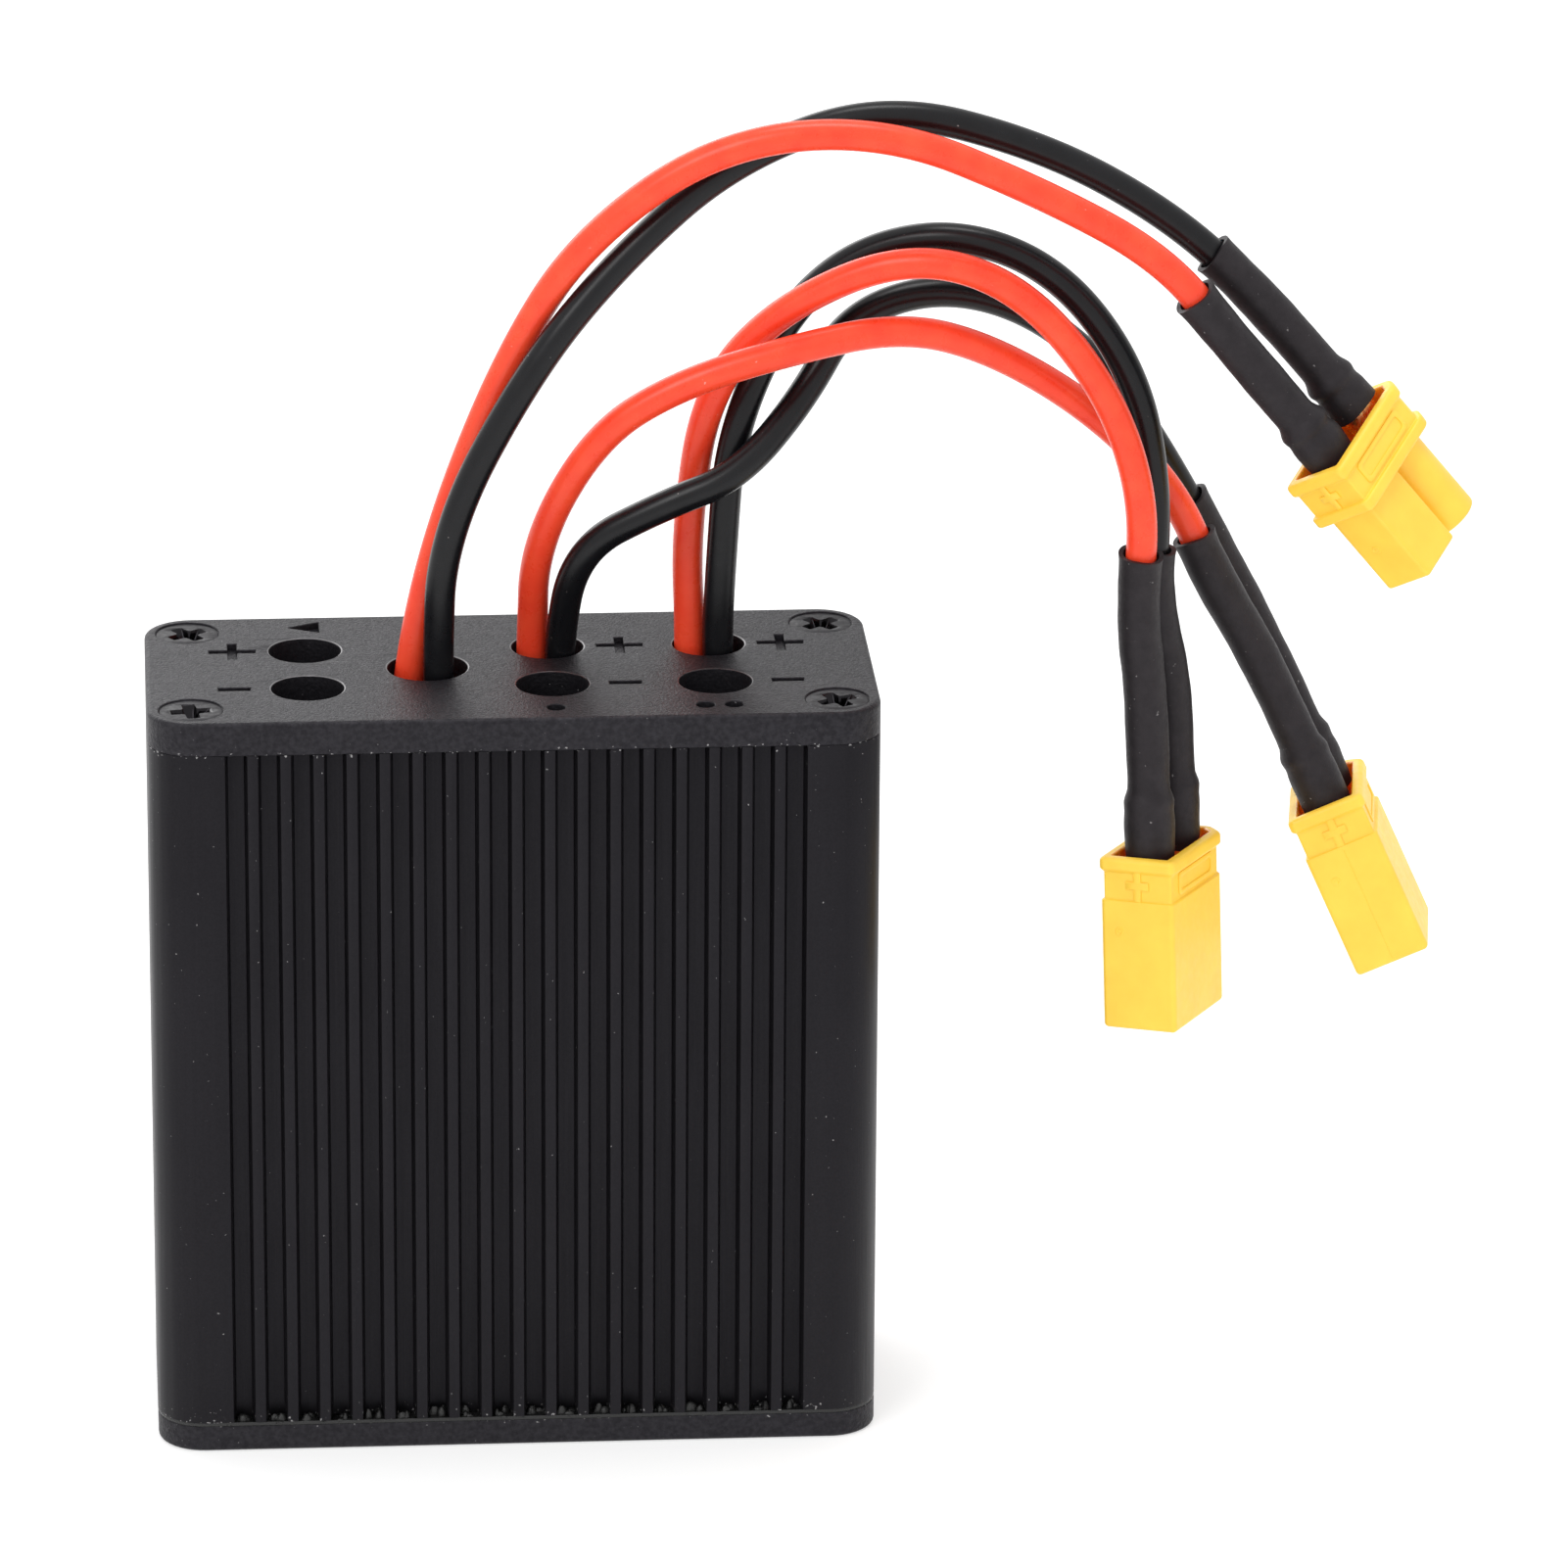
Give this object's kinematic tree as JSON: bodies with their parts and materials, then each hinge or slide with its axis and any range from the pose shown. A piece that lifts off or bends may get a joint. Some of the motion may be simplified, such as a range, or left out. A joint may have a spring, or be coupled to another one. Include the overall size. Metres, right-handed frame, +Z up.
{
  "type": "electronic speed controller",
  "caption": "Ribbed metal case of a motor speed controller, with silicone leads that arch in pairs from its top plate to plug-in power connectors.",
  "frame": {"origin": "centre of the bottom plate's underside", "axes": "+Z up from the bottom plate to the top plate that the leads leave, +X along the case's width towards the side the leads hang over, -Y towards the front"},
  "size_m": [0.0991, 0.0248, 0.1008],
  "materials": {
    "case": "black anodised extrusion, satin",
    "plate": "black anodised plate, fine blasted",
    "gasket": "matte",
    "screw": "black oxide",
    "board": "solder mask",
    "land": "gold plated copper",
    "solder": "tinned",
    "package": "moulded epoxy",
    "pad": "soft thermal pad",
    "spreader": "milled",
    "can": "drawn can",
    "shunt": "resistor alloy",
    "ceramic": "fired",
    "red_wire": "silicone",
    "black_wire": "silicone",
    "sleeve": "heat-shrink",
    "housing": "moulded nylon, satin",
    "contact": "gold plated"
  },
  "bodies": {
    "root": {"case_extrusion": "case", "top_end_plate": "plate", "bottom_end_plate": "plate", "bottom_gasket": "gasket", "top_plate_screws": "screw", "bottom_plate_screws": "screw", "circuit_board": "board", "power_transistors": "package", "thermal_pad": "pad", "heat_spreader": "spreader", "capacitor_bases": "package", "filter_capacitors": "can", "gate_drivers": "package", "microcontroller": "package", "current_shunts": "shunt", "voltage_regulator": "package", "regulator_inductor": "package", "ceramic_capacitors": "ceramic", "solder_lands": "land", "board_wire_ends": "solder", "solder_joints": "solder", "com_red_lead": "red_wire", "com_red_sleeve": "sleeve", "com_black_lead": "black_wire", "com_black_sleeve": "sleeve", "com_socket_housing": "housing", "com_socket_contacts": "contact", "com_lead_tips": "solder", "a_red_lead": "red_wire", "a_red_sleeve": "sleeve", "a_black_lead": "black_wire", "a_black_sleeve": "sleeve", "a_plug_housing": "housing", "a_plug_contacts": "contact", "a_lead_tips": "solder", "b_red_lead": "red_wire", "b_red_sleeve": "sleeve", "b_black_lead": "black_wire", "b_black_sleeve": "sleeve", "b_plug_housing": "housing", "b_plug_contacts": "contact", "b_lead_tips": "solder"}
  },
  "joints": []
}
